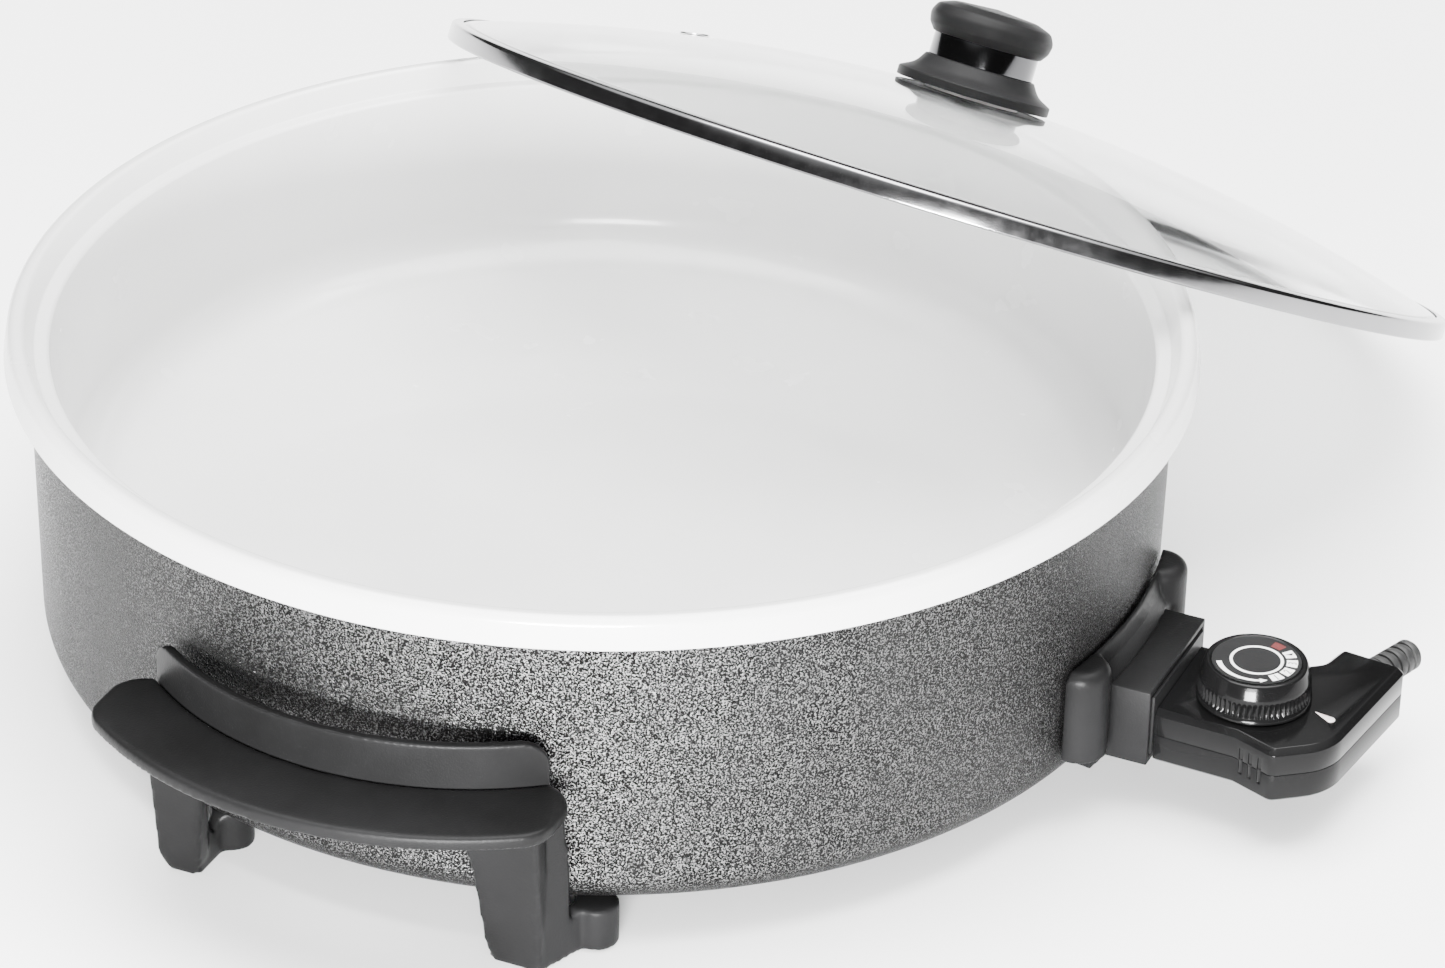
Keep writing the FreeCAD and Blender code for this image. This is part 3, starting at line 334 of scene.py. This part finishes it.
def arc_path(corners, closed=False, step=9.0):
    """Points along straight runs joined by arcs: each corner is (x, y, radius)."""
    count = len(corners)
    path = []
    for i, (x, y, radius) in enumerate(corners):
        here = Vector((x, y))
        if radius <= 0 or (not closed and i in (0, count - 1)):
            path.append(here)
            continue
        before = (Vector(corners[i - 1][:2]) - here).normalized()
        after = (Vector(corners[(i + 1) % count][:2]) - here).normalized()
        half = before.angle(after) / 2
        reach = radius / math.tan(half)
        centre = here + (before + after).normalized() * (radius / math.sin(half))
        start = here + before * reach - centre
        turn = start.angle_signed(here + after * reach - centre)
        parts = max(2, int(abs(math.degrees(turn)) / step) + 1)
        for k in range(parts + 1):
            angle = -turn * k / parts
            path.append(centre + Vector((start.x * math.cos(angle) - start.y * math.sin(angle),
                                         start.x * math.sin(angle) + start.y * math.cos(angle))))
    return [(p.x, p.y) for p in path]


SMOOTH_ANGLE = 35.0  # degrees: sharper edges than this stay hard in the shading
WELD = 0.00002  # metres: points of a CAD mesh nearer than this are one point


def mesh_piece(name, bm, slot, body, node=None, place=None, sharp=SMOOTH_ANGLE, look=None):
    """Turns a bmesh in millimetres into a piece that rides a body and may stand for a CAD node.

    look is the name of a material to show instead of the slot's own.
    """
    bmesh.ops.recalc_face_normals(bm, faces=bm.faces[:])
    if place is not None:
        bmesh.ops.transform(bm, matrix=place, verts=bm.verts[:])
    bmesh.ops.scale(bm, vec=(MM, MM, MM), verts=bm.verts[:])
    mesh = bpy.data.meshes.new(name)
    bm.to_mesh(mesh)
    bm.free()
    piece = bpy.data.objects.new(name, mesh)
    bpy.context.scene.collection.objects.link(piece)
    mesh.shade_smooth()
    mesh.set_sharp_from_angle(angle=math.radians(sharp))
    paint(piece, MATERIALS[look or slot])
    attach(piece, body)
    if node:
        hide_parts(node)
    return piece


def skin(bm, rings, wrap=False):
    """Joins rings with quads, or with a fan at a ring of one point. wrap joins the last to the first."""
    loops = [[bm.verts.new(point) for point in ring] for ring in rings]
    pairs = list(zip(loops, loops[1:]))
    if wrap:
        pairs.append((loops[-1], loops[0]))
    for low, high in pairs:
        count = max(len(low), len(high))
        for i in range(count):
            j = (i + 1) % count
            corners = [low[i % len(low)], low[j % len(low)], high[j % len(high)], high[i % len(high)]]
            unique = list(dict.fromkeys(corners))
            if len(unique) > 2:
                bm.faces.new(unique)


def circle(radius, z, count, wobble=None):
    """A ring of points, or one point on the axis. wobble gives a change of radius by angle."""
    if radius < 1e-6:
        return [(0.0, 0.0, z)]
    ring = []
    for i in range(count):
        angle = math.tau * i / count
        r = radius + (wobble(angle) if wobble else 0.0)
        ring.append((r * math.cos(angle), r * math.sin(angle), z))
    return ring


def lathe(name, corners, slot, body, node, place=None, closed=False, count=256, step=9.0, look=None):
    """A turned piece from a profile of (radius, height, corner radius)."""
    bm = bmesh.new()
    path = arc_path(corners, closed, step)
    skin(bm, [circle(r, z, count) for r, z in path], wrap=closed)
    mesh_piece(name, bm, slot, body, node, place, look=look)


def cast(node, voxel, rounds=3):
    """A softened copy of a CAD node: remeshed finely, then relaxed, which rounds every edge."""
    piece = copy_of(node, "cast")
    weld = piece.modifiers.new("weld", "WELD")
    weld.merge_threshold = WELD
    remesh = piece.modifiers.new("remesh", "REMESH")
    remesh.mode = "VOXEL"
    remesh.voxel_size = voxel * MM
    relax = piece.modifiers.new("relax", "SMOOTH")
    relax.factor = 0.5
    relax.iterations = rounds
    apply_modifiers(piece)
    stand_for(piece, node)


def crisp(node, bevel):
    """A copy of a CAD node with its split faces welded and its edges broken by a small bevel."""
    piece = copy_of(node, "crisp")
    bm = bmesh.new()
    bm.from_mesh(piece.data)
    bmesh.ops.remove_doubles(bm, verts=bm.verts[:], dist=WELD)
    bmesh.ops.dissolve_limit(bm, angle_limit=math.radians(1.0), verts=bm.verts[:], edges=bm.edges[:])
    bm.to_mesh(piece.data)
    bm.free()
    softened_edges(piece, bevel, 30.0)
    apply_modifiers(piece).set_sharp_from_angle(angle=math.radians(38))
    stand_for(piece, node)


# ---------------------------------------------------------------- pan

def bowl():
    """The coated bowl: floor, wall, ledge for the lid, rim, and back along the underside."""
    lathe("bowl_coated", [
        (0, 60, 0), (196.5, 60, 20), (203.4, 131.5, 1.6), (208.9, 131.5, 0.8),
        (212.6, 140, 2.4), (218.2, 140, 3.6), (220, 128.2, 0.9), (217.4, 128.0, 0.4),
        (216.4, 128.6, 0), (206.8, 128.6, 1.0), (199.7, 55, 20), (0, 55, 0),
    ], "ceramic_coat", "pan", "pan_bowl", count=320, step=6.0)


def shell():
    """The jacket, open where the socket passes through it."""
    path = arc_path([(211.0, 128.4, 0), (209.5, 17, 12), (150, 17, 0),
                     (150, 18, 0), (208.5, 18, 11), (210.0, 128.4, 0)], closed=True, step=8.0)
    bm = bmesh.new()
    skin(bm, [circle(r, z, 360) for r, z in path], wrap=True)
    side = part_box("socket_shroud")
    gone = []
    for face in bm.faces:
        c = face.calc_center_median()
        if c.x > 0 and abs(c.y) < side[1].y / MM and side[0].z / MM < c.z < side[1].z / MM:
            gone.append(face)
    bmesh.ops.delete(bm, geom=gone, context="FACES")
    mesh_piece("shell_hammered", bm, "hammertone", "pan", "outer_shell")


bowl()
shell()
for label in ("front_handle", "back_handle"):
    cast(label, 1.1)
    cast(label + "_guard", 0.7)
cast("socket_flange", 0.8)
crisp("socket_shroud", 0.5)


# ---------------------------------------------------------------- control

RIBS = 64  # round the dial's grip


def ribs(depth):
    """A change of radius by angle that cuts the dial's ribs this deep."""
    return lambda angle: -depth * (0.5 - 0.5 * math.cos(RIBS * angle)) ** 0.6


def middle(low, high):
    """The upright axis through a box, for pieces that turn with the dial."""
    return Matrix.Translation(((low.x + high.x) / 2 / MM, (low.y + high.y) / 2 / MM, 0))


def knob():
    """The dial: a ring at its foot, a ribbed grip, a plain shoulder and a recessed printed top."""
    low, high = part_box("thermostat_knob")
    centre = middle(low, high)
    base, top = low.z / MM, high.z / MM
    side = [  # radius, height over the foot, depth of the ribs
        (2.5, 2.4, 0), (18.5, 2.4, 0), (18.5, 0.0, 0), (20.3, 0.0, 0), (20.9, 0.5, 0), (20.9, 1.5, 0),
        (20.4, 2.1, 0), (20.2, 2.4, 0), (20.6, 2.7, 0.15), (20.6, 3.1, 0.75), (20.4, 7.6, 0.75),
        (20.3, 8.2, 0.1), (20.3, 9.0, 0), (20.0, 10.0, 0),
    ]
    crown = [  # radius, depth under the top
        (18.7, 0.9), (18.4, 0.3), (17.9, 0.0), (16.6, 0.0), (16.2, 0.3), (16.2, 0.8), (2.5, 0.8),
    ]
    rings = [circle(r, base + height, 512, ribs(depth) if depth else None) for r, height, depth in side]
    rings += [circle(r, top - depth, 512) for r, depth in crown]
    bm = bmesh.new()
    skin(bm, rings, wrap=True)
    mesh_piece("dial_knob", bm, "black_gloss", "dial", "thermostat_knob", centre, sharp=50)


INK_THICK = 0.04  # millimetres


def flat_strip(bm, line, width, z):
    """A thin raised strip along a line of points. width is one number, or one for each point."""
    left, right = [], []
    for i, (x, y) in enumerate(line):
        before, after = line[max(i - 1, 0)], line[min(i + 1, len(line) - 1)]
        way = Vector((after[0] - before[0], after[1] - before[1])).normalized()
        half = width[i] / 2 if isinstance(width, list) else width / 2
        left.append((x - way.y * half, y + way.x * half))
        right.append((x + way.y * half, y - way.x * half))
    flat_plate(bm, left + right[::-1], z)


def flat_plate(bm, edge, z):
    """A thin plate inside an edge whose second half runs back beside the first."""
    low = [bm.verts.new((x, y, z)) for x, y in edge]
    high = [bm.verts.new((x, y, z + INK_THICK)) for x, y in edge]
    count = len(edge)
    if count > 8:
        half = count // 2
        for i in range(half - 1):
            j = count - 1 - i
            bm.faces.new([high[i], high[i + 1], high[j - 1], high[j]])
            bm.faces.new([low[j], low[j - 1], low[i + 1], low[i]])
    else:
        bm.faces.new(high)
        bm.faces.new(low[::-1])
    for i in range(count):
        j = (i + 1) % count
        bm.faces.new([low[i], low[j], high[j], high[i]])


def around(radius, start, end, steps):
    """Points along an arc, with its angles in degrees."""
    angles = [math.radians(start + (end - start) * k / steps) for k in range(steps + 1)]
    return [(radius * math.cos(a), radius * math.sin(a)) for a in angles]


DIGITS = {  # strokes on a field two wide and four tall
    1: [[(0.3, 3.2), (1.0, 4.0), (1.0, 0.0)], [(0.3, 0.0), (1.7, 0.0)]],
    2: [[(0.0, 3.1), (0.4, 3.8), (1.0, 4.0), (1.7, 3.7), (1.95, 3.0), (1.6, 2.2), (0.0, 0.0)],
        [(0.0, 0.0), (2.0, 0.0)]],
    3: [[(0.1, 3.6), (0.9, 4.0), (1.7, 3.7), (1.8, 2.8), (1.2, 2.2), (0.7, 2.15)],
        [(0.7, 2.15), (1.5, 1.9), (1.95, 1.2), (1.6, 0.3), (0.8, 0.0), (0.0, 0.5)]],
    4: [[(1.5, 0.0), (1.5, 4.0), (0.0, 1.2)], [(0.0, 1.2), (2.1, 1.2)]],
}


def dial_print():
    """Printed marks on the dial: a ring, an arrow, four numbered fields and a red field."""
    low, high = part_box("dial_plate")
    centre = middle(low, high)
    face = high.z / MM
    arrow, field = 13.7, 12.8  # radii of the arrow's and the fields' middle lines
    digit_foot, digit_tall, digit_wide, digit_stroke = 14.3, 0.72, 0.55, 0.42
    inks = {name: bmesh.new() for name in INKS}
    flat_strip(inks["white"], around(9.2, 0, 360, 96), 1.05, face)
    taper = [1.9 - 1.0 * k / 30 for k in range(31)]
    flat_strip(inks["white"], around(arrow, -152, -66, 30), taper, face)
    flat_strip(inks["white"], around(arrow, -66, -55, 4), [2.6, 1.95, 1.3, 0.7, 0.15], face)
    for number, angle in ((1, -38.0), (2, -12.0), (3, 15.0), (4, 42.0)):
        flat_strip(inks["white"], around(field, angle - 10, angle + 10, 8), 3.9, face)
        turn = Matrix.Rotation(math.radians(angle), 3, "Z")
        for stroke in DIGITS[number]:
            spots = [turn @ Vector((digit_foot - digit_tall * y, digit_wide * (x - 1.0), 0))
                     for x, y in stroke]
            flat_strip(inks["black"], [(p.x, p.y) for p in spots], digit_stroke, face + 0.03)
    flat_strip(inks["red"], around(field, 62, 82, 8), 3.6, face)
    for name, bm in inks.items():
        piece = mesh_piece(f"dial_print_{name}", bm, "dial_print", "dial", place=centre)
        paint(piece, INKS[name])


for label in ("housing_top", "housing_bottom", "strain_relief", "contact_nose"):
    crisp(label, 0.3)
crisp("indicator_lens", 0.15)
knob()
dial_print()


# ---------------------------------------------------------------- lid

# The lid leans: its own frame starts at the middle of its ring's foot and tilts towards a heading.
LID_TILT = math.radians(27.6)
LID_HEADING = math.radians(78.8)
LID_PLACE = (Matrix.Translation((45.0, 225.5, 97.3)) @ Matrix.Rotation(LID_HEADING, 4, "Z")
             @ Matrix.Rotation(LID_TILT, 4, "Y") @ Matrix.Rotation(-LID_HEADING, 4, "Z"))
DOME = 37.5  # height of the dome's top over the ring's foot
CURVE = 700.0  # radius of the dome's outer face
GLASS_EDGE = 206.8
GLASS_THICK = 3.8
GLASS_BORE = 3.5  # radius of the hole for the knob's screw
CHAMFER_IN, CHAMFER_DOWN = 1.4, 1.2  # at the edge of the glass


def dome(radius, drop=0.0):
    """Height of the dome's outer face, or of one this far under it, at a distance from the axis."""
    curve = CURVE - drop
    return DOME - CURVE + math.sqrt(curve**2 - radius**2)


def glass():
    """The dome: its outer face from the bore outwards, the chamfered edge, and its inner face back."""
    reach, steps = GLASS_EDGE - CHAMFER_IN - GLASS_BORE, 40
    radii = [GLASS_BORE + reach * i / steps for i in range(steps + 1)]
    outer = [(r, dome(r), 0) for r in radii]
    edge = [(GLASS_EDGE, dome(GLASS_EDGE) - CHAMFER_DOWN, 0),
            (GLASS_EDGE, dome(GLASS_EDGE, GLASS_THICK) + CHAMFER_DOWN, 0)]
    inner = [(r, dome(r, GLASS_THICK), 0) for r in reversed(radii)]
    lathe("glass_dome", outer + edge + inner, "clear_glass", "lid", "lid_glass", LID_PLACE,
          closed=True, count=288)


def ring():
    """The steel channel that holds the edge of the glass."""
    # The ring shows the darkened steel look instead of its bright steel slot: a painted dark reflection.
    lathe("steel_rim", [
        (203.4, 0.0, 0.5), (208.0, 0.0, 0.9), (207.9, 7.2, 1.6), (203.5, 8.05, 0.3), (203.4, 7.45, 0.3),
        (207.1, 6.6, 0.6), (207.2, 0.9, 0.3), (203.4, 0.9, 0.3),
    ], "bright_steel", "lid", "lid_ring", LID_PLACE, closed=True, count=288, step=15, look="steel_painted_dark_reflection")


def over_dome(profile):
    """A profile whose heights are counted from the dome's top."""
    return [(radius, DOME + height, corner) for radius, height, corner in profile]


def lid_knob():
    """The lid's grip: a flared skirt, a metal band at its waist and a rounded cap."""
    lathe("knob_base", over_dome([
        (2.6, 0.8, 0), (20.0, 0.8, 0.3), (20.2, 1.4, 0.3), (28.8, 1.4, 0.4), (29.4, 0.3, 0.4),
        (31.6, 0.3, 0.5), (31.6, 4.0, 0.9), (25.6, 7.0, 9.0), (22.7, 11.7, 0.8), (21.2, 12.0, 0.2),
        (2.6, 12.0, 0),
    ]), "black_molding", "lid", "lid_knob_base", LID_PLACE, closed=True, count=144, look="satin_black")
    # The metal band shows the near-black chrome look instead of its bright steel slot: a painted dark
    # reflection.
    lathe("knob_band", over_dome([
        (20.4, 12.0, 0), (21.6, 12.0, 0.25), (21.6, 21.1, 0.25), (20.4, 21.1, 0),
    ]), "bright_steel", "lid", "lid_knob_band", LID_PLACE, closed=True, count=144, look="chrome_painted_dark_reflection")
    lathe("knob_cap", over_dome([
        (0, 18.5, 0), (2.6, 18.5, 0), (2.6, 12.0, 0), (20.3, 12.0, 0), (20.3, 21.1, 0),
        (22.4, 21.1, 0.6), (24.8, 24.3, 3.0), (25.6, 28.4, 4.5), (23.6, 32.4, 3.5), (17.0, 34.8, 12.0),
        (0, 36.0, 0),
    ]), "black_gloss", "lid", "lid_knob_cap", LID_PLACE, count=144, step=6.0, look="satin_black")


glass()
ring()
lid_knob()

# The CAD nodes that stay in view get their materials. Those replaced above are hidden.
for node, piece in frame["nodes"].items():
    paint(piece, MATERIALS[SLOT_OF[node]])
    piece.data.shade_smooth()
    piece.data.set_sharp_from_angle(angle=math.radians(SMOOTH_ANGLE))


# ---------------------------------------------------------------- studio

def studio():
    """A pale floor, a sky that is bright overhead and dark low down, and three soft lamps."""
    world = bpy.data.worlds.new("studio")
    bpy.context.scene.world = world
    world.use_nodes = True
    tree = world.node_tree
    backdrop = tree.nodes["Background"]
    way = tree.nodes.new("ShaderNodeTexCoord")
    split = tree.nodes.new("ShaderNodeSeparateXYZ")
    tree.links.new(way.outputs["Generated"], split.inputs[0])
    dome_light = tree.nodes.new("ShaderNodeValToRGB")
    for element, (place, level) in zip(dome_light.color_ramp.elements, ((0.45, 0.02), (0.95, 1.0))):
        element.position = place
        element.color = (level, level, level, 1)
    tree.links.new(split.outputs["Z"], dome_light.inputs["Fac"])
    tree.links.new(dome_light.outputs["Color"], backdrop.inputs["Color"])
    backdrop.inputs["Strength"].default_value = 4.0

    just_under = -0.0002  # so that the feet and the floor don't share a plane
    bpy.ops.mesh.primitive_plane_add(size=12, location=(0, 0, just_under))
    floor = bpy.context.object
    floor.name = "studio_floor"
    m = Nodes("studio_floor", Roughness=0.75)
    m.link(m.mix(m.rescale(m.noise(2.0, 3), 0.3, 0.7, 0.0, 1.0), gray(0.92), gray(0.94)), "Base Color")
    floor.data.materials.append(m.material)

    lamps = [  # name, place, target, size in metres, power in watts, spread in degrees
        ("top", (0.1, 0.2, 2.8), (0, 0, 0), (2.6, 2.6), 360, 180),
        ("front", (0.55, -1.35, 0.45), (0.05, -0.1, 0.06), (0.5, 0.3), 9, 100),
        ("low front", (0.5, -1.35, 0.17), (0.05, -0.1, 0.06), (0.5, 0.2), 38, 90),
    ]
    for name, place, target, (width, height), power, spread in lamps:
        light = bpy.data.lights.new(name, "AREA")
        light.shape = "RECTANGLE"
        light.size, light.size_y = width, height
        light.energy = power
        light.spread = math.radians(spread)
        lamp = bpy.data.objects.new(name, light)
        lamp.location = place
        lamp.rotation_euler = (Vector(target) - Vector(place)).to_track_quat("-Z", "Y").to_euler()
        bpy.context.scene.collection.objects.link(lamp)


def camera():
    """The photograph's view: from the front right, 28.8 degrees above level, 2 m from the pan."""
    aim_height = 0.128  # the rim's lower edge
    distance, elevation, heading = 2.0, 0.501925, math.radians(25)
    yaw, pitch, roll = 0.02221799, -0.02705119, 0.01218661  # radians, away from the point aimed at
    sensor, focal, image_width = 36, 5415.07, 1445  # millimetres, then both in pixels
    place = Vector((0, -distance * math.cos(elevation), distance * math.sin(elevation)))
    forward = -place.normalized()
    right = Vector((1, 0, 0))
    up = right.cross(forward)
    ahead = forward * math.cos(yaw) + right * math.sin(yaw)
    side = right * math.cos(yaw) - forward * math.sin(yaw)
    look = ahead * math.cos(pitch) + up * math.sin(pitch)
    lift = up * math.cos(pitch) - ahead * math.sin(pitch)
    rolled_side = side * math.cos(roll) + lift * math.sin(roll)
    rolled_lift = lift * math.cos(roll) - side * math.sin(roll)
    turn = Matrix.Rotation(heading, 4, "Z")
    pose = Matrix((rolled_side, rolled_lift, -look)).transposed().to_4x4()
    pose.translation = place
    lens = bpy.data.cameras.new("camera")
    lens.sensor_width = sensor
    lens.lens = sensor * focal / image_width
    eye = bpy.data.objects.new("camera", lens)
    bpy.context.scene.collection.objects.link(eye)
    eye.matrix_world = Matrix.Translation((0, 0, aim_height)) @ turn @ pose
    bpy.context.scene.camera = eye


studio()
camera()
